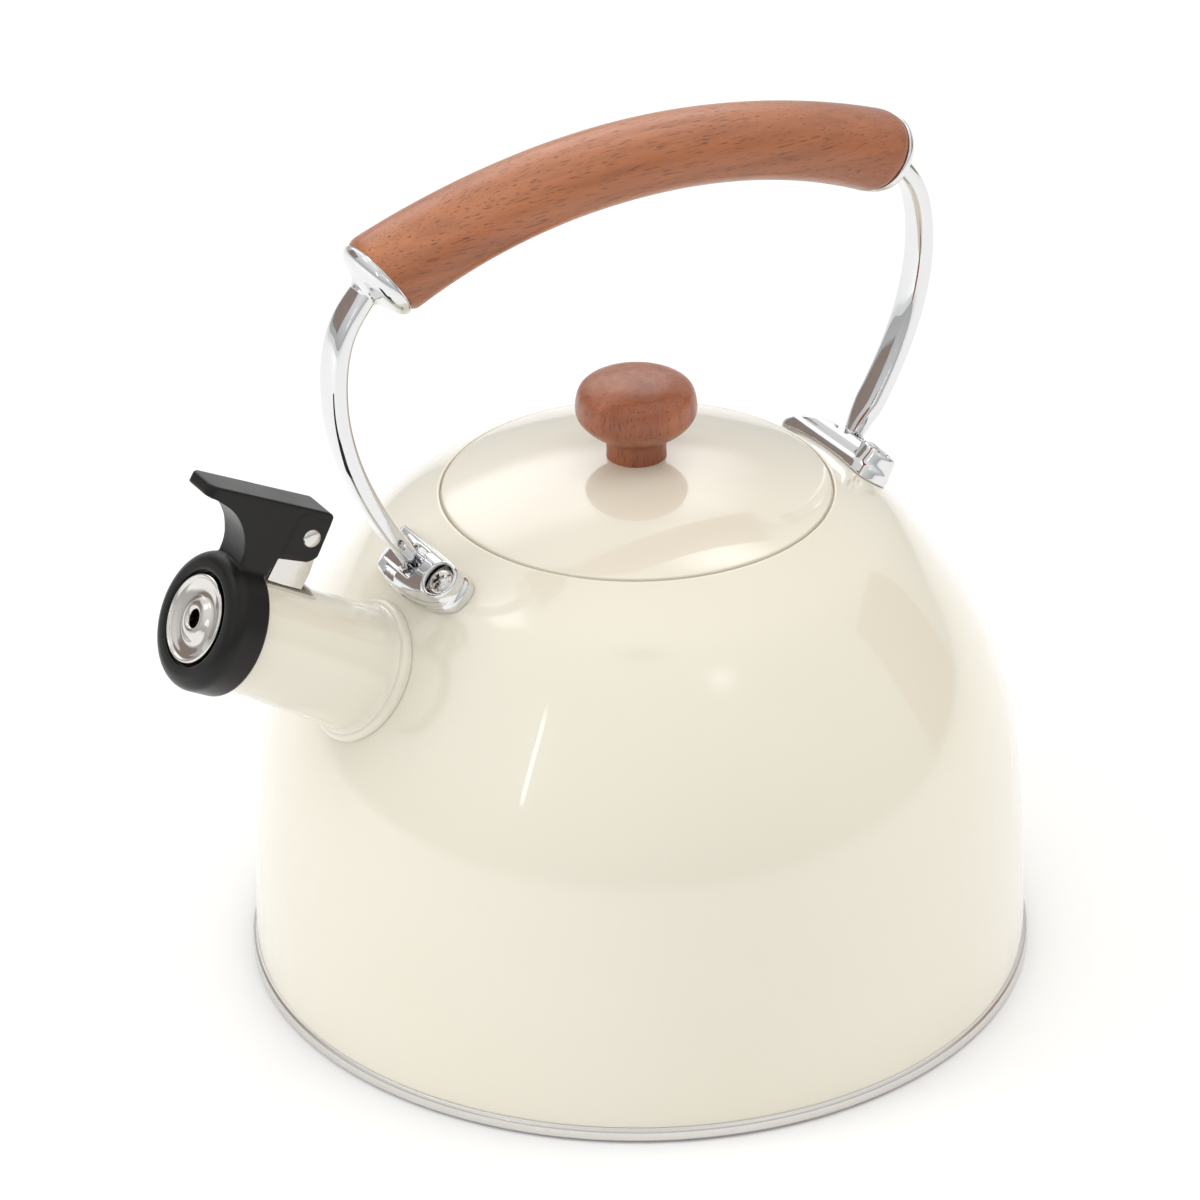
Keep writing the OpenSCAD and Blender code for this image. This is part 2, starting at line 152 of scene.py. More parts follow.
# %% Enamel
enamel, tree, shader = new_finish("enamel_cream", Roughness=0.22, IOR=1.5, Coat_Weight=1.0,
                                  Coat_Roughness=0.025, Coat_IOR=1.6)
slow = noise(tree, placed(tree), scale=9.0, detail=3.0)
tree.links.new(ramp(tree, slow, [(0.3, (0.805, 0.755, 0.625)), (0.7, (0.825, 0.780, 0.655))]),
               shader.inputs["Base Color"])
waves = noise(tree, placed(tree), scale=55.0, detail=1.0)
bumped(tree, shader, waves, distance=0.00012, strength=0.35)

# %% [markdown]
# Chrome plate is a mirror with hardly any colour. Its character comes from what it reflects, so the
# finish itself only has a trace of roughness that varies, like the haze that wiping leaves.

# %% Chrome and polished steel
chrome, tree, shader = new_finish("chrome_plate", Base_Color=(0.76, 0.765, 0.77, 1), Metallic=1.0)
haze = noise(tree, placed(tree), scale=120.0, detail=3.0)
tree.links.new(ramp(tree, haze, [(0.35, grey(0.02)), (0.75, grey(0.06))]), shader.inputs["Roughness"])
ripple = noise(tree, placed(tree), scale=210.0, detail=1.0)
bumped(tree, shader, ripple, distance=0.00006, strength=0.25)

polished, tree, shader = new_finish("polished_steel", Base_Color=(0.70, 0.675, 0.645, 1), Metallic=1.0)
haze = noise(tree, placed(tree), scale=400.0, detail=3.0)
tree.links.new(ramp(tree, haze, [(0.35, grey(0.10)), (0.75, grey(0.18))]), shader.inputs["Roughness"])

# %% [markdown]
# The foot ring and the base are spun steel. Spinning and polishing leave fine rings round the axis.
# A noise read on the distance from the axis gives such rings, because it has one value all the way
# round.

# %% Spun steel
spun, tree, shader = new_finish("spun_steel", Base_Color=(0.74, 0.715, 0.685, 1), Metallic=1.0,
                                Anisotropic=0.4)
parts = add(tree, "SeparateXYZ", {"Vector": add(tree, "TexCoord").outputs["Object"]})
radius = add(tree, "VectorMath", {0: add(tree, "CombineXYZ", {
    "X": parts.outputs["X"], "Y": parts.outputs["Y"]}).outputs["Vector"]}, operation="LENGTH")
rings = add(tree, "CombineXYZ", {"X": radius.outputs["Value"], "Z": parts.outputs["Z"]})
grain = noise(tree, rings.outputs["Vector"], scale=2600.0, detail=4.0, roughness=0.7)
tree.links.new(ramp(tree, grain, [(0.3, grey(0.20)), (0.7, grey(0.34))]), shader.inputs["Roughness"])
bumped(tree, shader, grain, distance=0.00002, strength=0.35)

# %% [markdown]
# The grip and the knob are an open-pored reddish hardwood under a thin oil finish. Three layers make
# it: broad figure, growth lines drawn out along the grain, and short dark pores. Stretching the
# coordinates along the grain before a noise reads them draws every spot out into a streak. A Mix node
# takes its factor at input 0 and its two colours at inputs 6 and 7.


# %% Wood
WARP, STREAK_STRENGTH, LINE_DEPTH, PORE_DRAW = 0.012, 0.75, 0.35, 0.08


def hardwood(name, light, mid, dark, pore, along="X", stretch=12.0, fine=1.0):
    """An open-pored wood whose grain runs along X, Y or Z."""
    finish, tree, shader = new_finish(name, IOR=1.46, Coat_Weight=0.45, Coat_Roughness=0.24)
    grain = placed(tree, [1 / stretch if axis == along else 1 for axis in "XYZ"])
    figure = noise(tree, grain, scale=34.0 * fine, detail=4.0, roughness=0.55)
    warp = add(tree, "VectorMath", {0: grain, 1: add(tree, "VectorMath", {
        0: add(tree, "CombineXYZ", {"X": figure, "Y": figure, "Z": figure}).outputs["Vector"],
        1: (WARP, WARP, WARP)}, operation="MULTIPLY").outputs["Vector"]}, operation="ADD")
    lines = noise(tree, warp.outputs["Vector"], scale=330.0 * fine, detail=5.0, roughness=0.65)
    base = ramp(tree, figure, [(0.3, dark), (0.5, mid), (0.72, light)])
    streaks = ramp(tree, lines, [(0.32, grey(0.74)), (0.52, grey(1.0)), (0.75, grey(1.12))])
    toned = add(tree, "Mix", {0: STREAK_STRENGTH, 6: base, 7: streaks}, data_type="RGBA",
                blend_type="MULTIPLY")
    long = placed(tree, [PORE_DRAW if axis == along else 1 for axis in "XYZ"], move=(0.3, 0.1, 0.2))
    specks = noise(tree, long, scale=2700.0 * fine, detail=1.0)
    open_pores = ramp(tree, specks, [(0.60, grey(0.0)), (0.70, grey(0.85))])
    coloured = add(tree, "Mix", {0: open_pores, 6: toned.outputs[2], 7: (*pore, 1)}, data_type="RGBA")
    tree.links.new(coloured.outputs[2], shader.inputs["Base Color"])
    tree.links.new(ramp(tree, lines, [(0.3, grey(0.50)), (0.7, grey(0.34))]), shader.inputs["Roughness"])
    depth = add(tree, "Math", {0: 1.0, 1: open_pores}, operation="SUBTRACT")
    shallow = add(tree, "Math", {0: lines, 1: LINE_DEPTH}, operation="MULTIPLY")
    relief = add(tree, "Math", {0: depth.outputs[0], 1: shallow.outputs[0]}, operation="ADD")
    bumped(tree, shader, relief.outputs[0], distance=0.00012, strength=0.5)
    return finish


grip_wood = hardwood("grip_wood", (0.51, 0.190, 0.075), (0.39, 0.126, 0.045), (0.25, 0.072, 0.025),
                     (0.15, 0.048, 0.022))
knob_wood = hardwood("knob_wood", (0.47, 0.158, 0.061), (0.37, 0.110, 0.040), (0.25, 0.068, 0.026),
                     (0.06, 0.02, 0.012), along="Z", stretch=9.0, fine=1.1)

# %% [markdown]
# The whistle is moulded black plastic with a fine eroded texture from its mould. A very small noise
# in the bump breaks up the highlight, and the roughness drifts so that the surface isn't uniform.

# %% Moulded plastic
plastic, tree, shader = new_finish("black_plastic", Base_Color=(0.0060, 0.0054, 0.0050, 1), IOR=1.5,
                                   Specular_IOR_Level=0.3, Sheen_Weight=0.2, Sheen_Roughness=0.3)
grit = noise(tree, placed(tree), scale=2400.0)
wear = noise(tree, placed(tree), scale=90.0, detail=3.0)
tree.links.new(ramp(tree, wear, [(0.3, grey(0.28)), (0.7, grey(0.37))]), shader.inputs["Roughness"])
bumped(tree, shader, grit, distance=0.00006, strength=0.45)

# %% [markdown]
# Under the kettle, out of sight, a disc of plain aluminium spreads the heat. It needs no more than a
# dull metal whose roughness varies.

# %% Aluminium
spreader, tree, shader = new_finish("cast_aluminium", Base_Color=(0.80, 0.81, 0.82, 1), Metallic=1.0)
skin = noise(tree, placed(tree), scale=700.0, detail=4.0)
tree.links.new(ramp(tree, skin, [(0.3, grey(0.35)), (0.7, grey(0.5))]), shader.inputs["Roughness"])

# %% [markdown]
# Most of the kettle is turned or drawn round an axis, so most pieces start as a profile that is spun
# into a solid. A smooth curve through a few guide points gives the profile, and a helper rounds its
# corners, because no pressed or turned edge is perfectly sharp.


# %% Curves and turned shapes
MERGE = 1e-4


def smooth(points, steps):
    """A Catmull-Rom curve through points, with steps stretches in each span."""
    p = [Vector(q) for q in points]
    out = []
    for i in range(len(p) - 1):
        a, b, c, d = p[max(i - 1, 0)], p[i], p[i + 1], p[min(i + 2, len(p) - 1)]
        for k in range(steps):
            t = k / steps
            out.append(0.5 * (2 * b + (c - a) * t + (2 * a - 5 * b + 4 * c - d) * t * t
                              + (3 * b - a - 3 * c + d) * t ** 3))
    return out + [p[-1]]


def rounded(points, radii, steps=5):
    """The same path with some corners rounded; radii is {index: radius}."""
    out = []
    for i, here in enumerate(points):
        here = Vector(here)
        if i not in radii:
            out.append(here)
            continue
        before = (Vector(points[i - 1]) - here).normalized()
        after = (Vector(points[(i + 1) % len(points)]) - here).normalized()
        half = before.angle(after) / 2
        reach = radii[i] / math.tan(half)
        centre = here + (before + after).normalized() * (radii[i] / math.sin(half))
        start = (here + before * reach - centre).normalized()
        end = (here + after * reach - centre).normalized()
        out += [centre + radii[i] * start.slerp(end, k / steps) for k in range(steps + 1)]
    return out


def moved(points, w):
    """The path moved to its left by w."""
    out = []
    for i, here in enumerate(points):
        d = (points[min(i + 1, len(points) - 1)] - points[max(i - 1, 0)]).normalized()
        out.append(here + w * Vector((-d.y, d.x)))
    return out


def arc(centre, r, start, end, steps):
    """Points on a circle between two angles in degrees."""
    angles = [math.radians(start + (end - start) * k / steps) for k in range(steps + 1)]
    return [Vector((centre[0] + r * math.cos(a), centre[1] + r * math.sin(a))) for a in angles]


def turned(profile, steps, closed=True):
    """A profile of (radius, height) points spun round Z; an open one starts and ends on the axis."""
    bm = bmesh.new()
    verts = [bm.verts.new((p[0], 0, p[1])) for p in profile]
    ends = verts[1:] + verts[:1] if closed else verts[1:]
    edges = [bm.edges.new(pair) for pair in zip(verts, ends)]
    bmesh.ops.spin(bm, geom=verts + edges, cent=(0, 0, 0), axis=(0, 0, 1), angle=2 * math.pi,
                   steps=steps, use_merge=True, use_duplicate=False)
    bmesh.ops.remove_doubles(bm, verts=bm.verts, dist=MERGE)
    bmesh.ops.recalc_face_normals(bm, faces=bm.faces)
    return bm


# %% [markdown]
# Two plain shapes help the others: a cylinder, which cuts holes and also makes a peg, and a box, which
# cuts slots. A matrix sets any shape in its place.


# %% Cylinders, boxes and places
def bore(radius, low, high, steps=96):
    """A cylinder along Z from low to high."""
    bm = bmesh.new()
    bmesh.ops.create_cone(bm, cap_ends=True, segments=steps, radius1=radius, radius2=radius,
                          depth=high - low)
    bmesh.ops.translate(bm, vec=(0, 0, (low + high) / 2), verts=bm.verts)
    return bm


def block(x0, x1, y0, y1, z0, z1):
    """A box between two corners."""
    bm = bmesh.new()
    bmesh.ops.create_cube(bm, size=1)
    bmesh.ops.scale(bm, vec=(x1 - x0, y1 - y0, z1 - z0), verts=bm.verts)
    bmesh.ops.translate(bm, vec=((x0 + x1) / 2, (y0 + y1) / 2, (z0 + z1) / 2), verts=bm.verts)
    return bm


def set_at(bm, place):
    """Moves a shape; a place that mirrors also turns the faces round, so they still point out."""
    bmesh.ops.transform(bm, matrix=place, verts=bm.verts)
    if place.determinant() < 0:
        bmesh.ops.reverse_faces(bm, faces=bm.faces)
    return bm


# %% [markdown]
# Shapes are made in millimetres. Booleans are done at once on plain objects that are then removed,
# and the finished mesh is scaled to metres, shaded smooth with its true corners kept sharp, and set
# riding on the body that it belongs to.


# %% Joining and finishing
MM = 0.001


def as_object(bm, name="blank"):
    """The shape as an object in the scene."""
    mesh = bpy.data.meshes.new(name)
    bm.to_mesh(mesh)
    bm.free()
    obj = bpy.data.objects.new(name, mesh)
    bpy.context.scene.collection.objects.link(obj)
    return obj


def as_bmesh(obj):
    """The object's mesh with its modifiers carried out; the object is removed."""
    bpy.context.view_layer.update()
    mesh = bpy.data.meshes.new_from_object(obj.evaluated_get(bpy.context.evaluated_depsgraph_get()))
    bm = bmesh.new()
    bm.from_mesh(mesh)
    bpy.data.objects.remove(obj)
    bpy.data.meshes.remove(mesh)
    return bm


def combined(bm, *others):
    """bm with the other shapes cut away from it."""
    base = as_object(bm)
    tools = [as_object(other, "tool") for other in others]
    for tool in tools:
        step = base.modifiers.new("cut", "BOOLEAN")
        step.object, step.operation, step.solver = tool, "DIFFERENCE", "EXACT"
    result = as_bmesh(base)
    for tool in tools:
        bpy.data.objects.remove(tool)
    return result


def remeshed(bm, voxel, passes):
    """bm as an even skin of small faces, with its corners worn soft by smoothing."""
    obj = as_object(bm)
    step = obj.modifiers.new("skin", "REMESH")
    step.mode, step.voxel_size = "VOXEL", voxel
    bm = as_bmesh(obj)
    for _ in range(passes):
        bmesh.ops.smooth_vert(bm, verts=bm.verts, factor=0.5, use_axis_x=True, use_axis_y=True,
                              use_axis_z=True)
    return bm


def joined(*shapes):
    """Several shapes as one mesh."""
    whole = shapes[0]
    for shape in shapes[1:]:
        mesh = bpy.data.meshes.new("part")
        shape.to_mesh(mesh)
        shape.free()
        whole.from_mesh(mesh)
        bpy.data.meshes.remove(mesh)
    return whole


def off_plan(obj, nodes):
    """How far, in mm, the piece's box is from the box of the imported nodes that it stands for."""
    low = [min(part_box(n)[0][k] for n in nodes) for k in range(3)]
    high = [max(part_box(n)[1][k] for n in nodes) for k in range(3)]
    mine = [v.co for v in obj.data.vertices]
    return max(max(abs(min(v[k] for v in mine) - low[k]), abs(max(v[k] for v in mine) - high[k]))
               for k in range(3)) / MM


def finish_piece(bm, name, body, material, stands_for, place=None, mirrored=False, sharp=38):
    """Puts a shape in place, in metres, as a named piece that rides on body."""
    if place is not None:
        set_at(bm, place)
    if mirrored:
        set_at(bm, Matrix.Diagonal((-1, 1, 1, 1)))
    bmesh.ops.scale(bm, vec=(MM, MM, MM), verts=bm.verts)
    obj = as_object(bm, name)
    obj.data.materials.clear()
    obj.data.materials.append(material)
    obj.data.shade_smooth()
    obj.data.set_sharp_from_angle(angle=math.radians(sharp))
    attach(obj, body)
    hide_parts(*stands_for)
    print(f"{name}: {len(obj.data.polygons)} faces, box off the plan by {off_plan(obj, stands_for):.2f} mm")


# %% [markdown]
# The body is one sheet of steel drawn into a dome and enamelled. Its profile is the dome's curve, a
# rounded lip at the mouth, the ledge that the lid rests on, and the same curve inside. A cylinder
# then cuts the hole that water leaves through.

# %% Body
FOOT_R, FOOT_H, WALL = 110.0, 4.6, 0.9
SEAT_R, MOUTH_R, DOME_H, SEAT_Z = 53.6, 50.2, 140.0, 138.4
SPOUT_ROOT_X, SPOUT_ROOT_Z, SPOUT_RISE, SPOUT_HOLE_R = -86.0, 108.2, 32.3, 15.9
dome_guides = [(FOOT_R - 1.2, FOOT_H), (108.2, 26), (107, 48), (103.9, 72), (96.5, 92.5),
               (84.5, 112.5), (70.8, 129), (SEAT_R, DOME_H)]
dome_curve = smooth(dome_guides, 10)


def dome_solid(clear=0.0):
    """Everything under the dome's outer face, or a little above it, to cut with."""
    return turned([Vector((0, FOOT_H)), *moved(dome_curve, -clear), Vector((0, DOME_H + clear))], 144,
                  closed=False)


def spout_place():
    """The frame of the spout: its root is the origin and Z points out along it."""
    return (Matrix.Translation((SPOUT_ROOT_X, 0, SPOUT_ROOT_Z))
            @ Matrix.Rotation(math.radians(SPOUT_RISE - 90), 4, "Y"))


dome_inside = [p for p in reversed(moved(dome_curve, WALL)) if p.y < SEAT_Z - 2 * WALL]
lip = rounded([dome_curve[-2], Vector((SEAT_R, DOME_H)), Vector((SEAT_R, SEAT_Z)),
               Vector((MOUTH_R, SEAT_Z)), Vector((MOUTH_R, SEAT_Z - WALL)),
               Vector((SEAT_R, SEAT_Z - WALL)), dome_inside[0]], {1: 0.45, 2: 0.5, 3: 0.4, 4: 0.4, 5: 0.6})
shell = turned(dome_curve[:-2] + lip[:-1] + dome_inside, 240)
shell = combined(shell, set_at(bore(SPOUT_HOLE_R, 0, 60), spout_place()))
finish_piece(shell, "body_enamel", "kettle", enamel, ["body_shell"])

# %% [markdown]
# The foot is a steel pan whose rolled edge shows all round as a bright bead, with a thin line of
# shadow where the enamel meets it.

# %% Foot ring
PAN_FLOOR, BEAD_LOW, BEAD_W, SKIRT_IN, SKIRT_TOP, PAN_WALL = 2.9, 0.4, 4.5, 3.0, 15.0, 0.6
PAN_TOP = PAN_FLOOR + WALL
pan = [(0, PAN_FLOOR), (FOOT_R - BEAD_W, PAN_FLOOR), (FOOT_R - BEAD_W, BEAD_LOW), (FOOT_R, BEAD_LOW),
       (FOOT_R, FOOT_H), (FOOT_R - SKIRT_IN, FOOT_H), (FOOT_R - SKIRT_IN, SKIRT_TOP),
       (FOOT_R - SKIRT_IN - PAN_WALL, SKIRT_TOP), (FOOT_R - SKIRT_IN - PAN_WALL, PAN_TOP), (0, PAN_TOP)]
foot = turned(rounded(pan, {2: 0.3, 3: 1.5, 4: 1.6}, 8), 240, closed=False)
finish_piece(foot, "foot_ring", "kettle", spun, ["base_pan"])

# %% [markdown]
# The lid is a shallow cap of the same enamelled sheet, so its profile is one arc outside, a rolled
# edge, and the same arc inside. The knob's screw passes through the hole in its middle.

# %% Lid
LID_R, LID_RISE, LID_TOP = 53.0, 10.0, 150.0
HOLE_TURN, SCREW_R = 0.83, 1.95
LID_BALL = (LID_R ** 2 + LID_RISE ** 2) / (2 * LID_RISE)
lid_edge = math.degrees(math.asin(LID_R / LID_BALL))
outer = arc((0, LID_TOP - LID_BALL), LID_BALL, 90 - HOLE_TURN, 90 - lid_edge, 24)
inner = arc((0, LID_TOP - LID_BALL), LID_BALL - WALL, 90 - lid_edge, 90 - HOLE_TURN, 24)
rim = rounded([outer[-2], outer[-1], Vector((LID_R, SEAT_Z)), Vector((LID_R - WALL, SEAT_Z)), inner[1]],
              {1: 0.6, 2: 0.3, 3: 0.3})
finish_piece(turned(outer[:-2] + rim + inner[2:], 200), "lid_enamel", "lid", enamel,
             ["lid_shell"])

# %% [markdown]
# The knob is turned wood: a short waisted stem that spreads into a flattened ball. A cylinder cuts
# the screw's hole in its underside.

# %% Knob
stem = smooth([(8.2, LID_TOP - 0.2), (8.15, 152.6), (8.6, 155.6), (12.6, 158.0), (15.8, 161.4), (16.5, 165),
               (15.2, 169.6), (10.8, 172.2), (5, 173.2), (0, 173.4)], 8)
ball = turned([Vector((0, LID_TOP - 0.05)), Vector((7.9, LID_TOP - 0.25)), *stem], 96, closed=False)
ball = combined(ball, bore(SCREW_R, 140, 162, 32))
finish_piece(ball, "knob_turned", "lid", knob_wood, ["knob"])

# %% [markdown]
# The spout is a slightly tapered tube with a thin rolled mouth, welded into the dome under a rounded
# bead. It is turned upright, laid over in its own frame, and what would reach inside the kettle is
# cut away with the dome's own shape.

# %% Spout
SPOUT_L, SEAM = 50.0, 0.2
SPOUT_ROOT_R, SPOUT_MOUTH_R, SPOUT_WALL, SPOUT_SUNK = 17.5, 15.5, 1.0, -14


def spout_r(s):
    """The tube's outer radius at s along the spout."""
    return SPOUT_ROOT_R + (SPOUT_MOUTH_R - SPOUT_ROOT_R) * s / SPOUT_L


tube = [(SPOUT_HOLE_R, SPOUT_SUNK), (19.2, SPOUT_SUNK), (19.8, -1.4), *arc((18.1, 0.4), 1.7, 0, 88, 10),
        (17.95, 2.35), (17.6, 2.75), (spout_r(4.5), 4.5), (spout_r(20), 20), (spout_r(46), 46),
        (SPOUT_MOUTH_R, SPOUT_L), (SPOUT_MOUTH_R - SPOUT_WALL, SPOUT_L), (spout_r(6) - SPOUT_WALL, 6)]
tube = rounded(tube, {len(tube) - 3: 0.45, len(tube) - 2: 0.45})
tube = combined(set_at(turned(tube, 160), spout_place()), dome_solid(SEAM))
finish_piece(tube, "spout_enamel", "kettle", enamel, ["spout_tube"])

# %% [markdown]
# A small folded steel bracket on top of the spout carries the whistle's hinge: a foot plate bent to
# the tube, and two ears that rise into the lever. Flat pieces start as one face of the outline that
# is extruded by the sheet's thickness and bevelled along its edges.


# %% Sheet pieces
def plate(outline, thickness, edge=0.0):
    """An outline of (x, z) points as a plate of that thickness, centred on y = 0, edges bevelled."""
    bm = bmesh.new()
    face = bm.faces.new([bm.verts.new((p[0], -thickness / 2, p[1])) for p in outline])
    face.normal_update()
    grown = bmesh.ops.extrude_face_region(bm, geom=[face])
    bmesh.ops.translate(bm, vec=(0, thickness, 0),
                        verts=[v for v in grown["geom"] if isinstance(v, bmesh.types.BMVert)])
    bmesh.ops.recalc_face_normals(bm, faces=bm.faces)
    if edge:
        rims = [e for e in bm.edges if len({round(v.co.y, 3) for v in e.verts}) == 1]
        bmesh.ops.bevel(bm, geom=rims, offset=edge, offset_type="OFFSET", affect="EDGES",
                        segments=3, profile=0.5, material=-1, clamp_overlap=True)
    return bm


# %% [markdown]
# The ears have a round end about the hinge, which stands HINGE_H above the spout's axis and HINGE_S
# along it. The foot plate is a strip spun round the tube's axis, so it hugs the tube.

# %% Whistle bracket
HINGE_H, HINGE_S, SHEET = 31.1, 39.1, 0.9
EAR_R, EAR_Y, EAR_NECK, EAR_BACK, EAR_EDGE = 4.2, 3.95, 22.0, 33.2, 0.18
SADDLE_BACK, SADDLE_FRONT, SADDLE_HALF, SADDLE_MID = 28.5, 44.5, 5.2, 36.0
ear_foot = spout_r(SADDLE_MID) + 0.2
ears = []
for side in (-1, 1):
    ear = [(ear_foot, EAR_BACK), (EAR_NECK, EAR_BACK), (HINGE_H, HINGE_S - EAR_R),
           *arc((HINGE_H, HINGE_S), EAR_R, -80, 80, 16),
           (HINGE_H, HINGE_S + EAR_R), (EAR_NECK, SADDLE_FRONT), (ear_foot, SADDLE_FRONT)]
    ears.append(set_at(plate(ear, SHEET, EAR_EDGE), Matrix.Translation((0, side * EAR_Y, 0))))
foot_arc = math.degrees(math.asin(SADDLE_HALF / spout_r(SADDLE_MID)))
saddle = bmesh.new()
strip = [saddle.verts.new((spout_r(along) + rise, 0, along)) for along, rise in
         ((SADDLE_BACK, 0), (SADDLE_BACK, SHEET), (SADDLE_FRONT, SHEET), (SADDLE_FRONT, 0))]
strip_face = saddle.faces.new(strip)
bmesh.ops.rotate(saddle, cent=(0, 0, 0), matrix=Matrix.Rotation(math.radians(-foot_arc), 3, "Z"),
                 verts=strip)
bmesh.ops.spin(saddle, geom=[strip_face], cent=(0, 0, 0), axis=(0, 0, 1),
               angle=math.radians(2 * foot_arc), steps=12, use_merge=False, use_duplicate=True)
bmesh.ops.remove_doubles(saddle, verts=saddle.verts, dist=MERGE)
bmesh.ops.recalc_face_normals(saddle, faces=saddle.faces)
finish_piece(joined(saddle, *ears), "whistle_bracket", "kettle", polished, ["spout_bracket"],
             place=spout_place())

# %% [markdown]
# Each arm is held by a cast and chromed bracket on the dome: a smooth pad with a rim at its foot, a
# channel that the arm folds along, open at its far end, and a round boss for the screw. Its plan is
# lofted up in layers that draw in, the channel and the bores are cut, and an even skin of small faces
# that is smoothed a little gives the soft corners of a polished casting.


# %% Where the brackets sit
SLOPE, SCREW_TILT = math.radians(40), math.radians(8)
PAD_X, PAD_Z = 67.2, 131.9
PIVOT_X, PIVOT_Z = 69.0, 134.8
bracket_place = (Matrix.Translation((-PAD_X, 0, PAD_Z)) @ Matrix.Rotation(-SLOPE, 4, "Y")
                 @ Matrix.Diagonal((-1, 1, 1, 1)))
screw_place = bracket_place @ Matrix.Translation((-1.9, -13.6, 0)) @ Matrix.Rotation(SCREW_TILT, 4, "X")
bracket_plan = smooth([(-7.6, -13.5), (-6.4, -18.2), (-2, -20.3), (2.6, -19), (6, -12.6), (7.5, -4.5),
                       (7.6, 4), (6.4, 13.5), (3.8, 19.4), (-0.4, 22), (-5, 21.6), (-7.5, 17.5),
                       (-7.6, -13.5)], 6)[:-1]
PIVOT_U = (PIVOT_X - PAD_X) * math.cos(SLOPE) - (PIVOT_Z - PAD_Z) * math.sin(SLOPE)
print("the pivot is", round(PIVOT_U, 2), "mm off the middle of the pad")

# %% [markdown]
# Lofting joins a stack of rings. The lowest ring is filled, its edges are extruded from ring to ring,
# and the last ring is filled too, so the shape is closed.


# %% Lofted shapes
def loft(rings):
    """Closed rings of the same number of points, each extruded from the one below and then closed."""
    bm = bmesh.new()
    row = [bm.verts.new(p) for p in rings[0]]
    edges = [bm.edges.new(pair) for pair in zip(row, row[1:] + row[:1])]
    bmesh.ops.edgeloop_fill(bm, edges=edges)
    for ring in rings[1:]:
        grown = bmesh.ops.extrude_edge_only(bm, edges=edges)
        edges = [e for e in grown["geom"] if isinstance(e, bmesh.types.BMEdge)]
        twins = {tuple(round(c, 5) for c in v.co): v for v in grown["geom"]
                 if isinstance(v, bmesh.types.BMVert)}
        row = [twins[tuple(round(c, 5) for c in v.co)] for v in row]
        for v, p in zip(row, ring):
            v.co = p
    bmesh.ops.edgeloop_fill(bm, edges=edges)
    bmesh.ops.recalc_face_normals(bm, faces=bm.faces)
    return bm


def drawn_in(plan, inset, height):
    """The plan drawn in towards its middle by inset on each side, at height."""
    low = [min(p[k] for p in plan) for k in (0, 1)]
    high = [max(p[k] for p in plan) for k in (0, 1)]
    middle, half = [(a + b) / 2 for a, b in zip(low, high)], [(b - a) / 2 for a, b in zip(low, high)]
    return [Vector([*(m + (c - m) * (h - inset) / h for c, m, h in zip(p, middle, half)), height])
            for p in plan]


# %% [markdown]
# The cutters are the hole for the arm's eye, the channel, a relief beside the channel where the
# folded arm lies, and sloping blocks that let the two channel walls fall away towards their far end.

# %% Handle brackets
PAD_LAYERS = [(0, -6), (0, 0.95), (0.12, 1.3), (0.42, 1.5), (0.55, 1.7), (0.62, 2.4), (0.75, 3.4),
              (1.0, 4.3), (1.45, 5.1), (2.1, 5.7), (2.8, 6.05), (3.5, 6.2)]
BOSS_R, BOSS_H, BOSS_EDGE = 5.5, 6.6, 0.6
EYE_HALF, EYE_SIDE, EYE_BELOW = 2.8, 3.1, 3.0
SLOT_HALF, SLOT_START, SLOT_FLOOR = 3.35, -4.5, 0.8
RELIEF_W, RELIEF_START, RELIEF_FLOOR = 4.9, 2.4, 2.6
OUTER_FALLS = [(1, 4.4, 8), (9, 3.3, 18), (16, 1.0, 28)]
INNER_FALLS = [(0.5, 6.3, 8), (9, 5.1, 20), (15, 3.0, 33)]
SEAT_HOLE_R, SEAT_HOLE_Z, SHANK_R = 4.4, 3.4, 2.05
BEYOND = 60
CAST_VOXEL, CAST_PASSES = 0.24, 14


def fall(u, along, height, slope):
    """A block to cut with, from u outwards, whose underside slopes down from height at along."""
    tip = Matrix.Translation((0, along, height)) @ Matrix.Rotation(-math.radians(slope), 4, "X")
    return set_at(block(u, 20, 0, BEYOND, 0, 40), bracket_place @ tip)


def bracket_cutters():
    eye = block(-PIVOT_X - EYE_HALF, -PIVOT_X + EYE_HALF, -EYE_SIDE, EYE_SIDE,
                PIVOT_Z - EYE_BELOW, PIVOT_Z - EYE_BELOW + 30)
    slot = block(PIVOT_U - SLOT_HALF, PIVOT_U + SLOT_HALF, SLOT_START, BEYOND, SLOT_FLOOR, 40)
    relief = block(PIVOT_U, PIVOT_U + RELIEF_W, RELIEF_START, BEYOND, RELIEF_FLOOR, 40)
    falls = [fall(PIVOT_U, *cut) for cut in OUTER_FALLS] + [fall(-20, *cut) for cut in INNER_FALLS]
    seat_hole = set_at(bore(SEAT_HOLE_R, SEAT_HOLE_Z, 30, 64), screw_place)
    shank_hole = set_at(bore(SHANK_R, -20, 20, 32), screw_place)
    return [dome_solid(), eye, set_at(slot, bracket_place), set_at(relief, bracket_place), *falls,
            seat_hole, shank_hole]


def cast_bracket():
    """The pad and the screw's boss, each cut by itself so that every boolean has one clean solid."""
    pad = set_at(loft([drawn_in(bracket_plan, i, h) for i, h in PAD_LAYERS]), bracket_place)
    boss = turned(rounded([(0, -3), (BOSS_R, -3), (BOSS_R, BOSS_H), (0, BOSS_H)], {2: BOSS_EDGE}), 64,
                  closed=False)
    return joined(*[combined(shape, *bracket_cutters()) for shape in (pad, set_at(boss, screw_place))])


for end in ("front", "rear"):
    casting = remeshed(cast_bracket(), CAST_VOXEL, CAST_PASSES)
    finish_piece(casting, end + "_bracket_cast", "kettle", chrome, [end + "_bracket"],
                 mirrored=end == "rear", sharp=180)

# %% [markdown]
# The bracket's screw has a domed head with a cross recess. The head is turned, and two tapered bars
# are cut out of it.


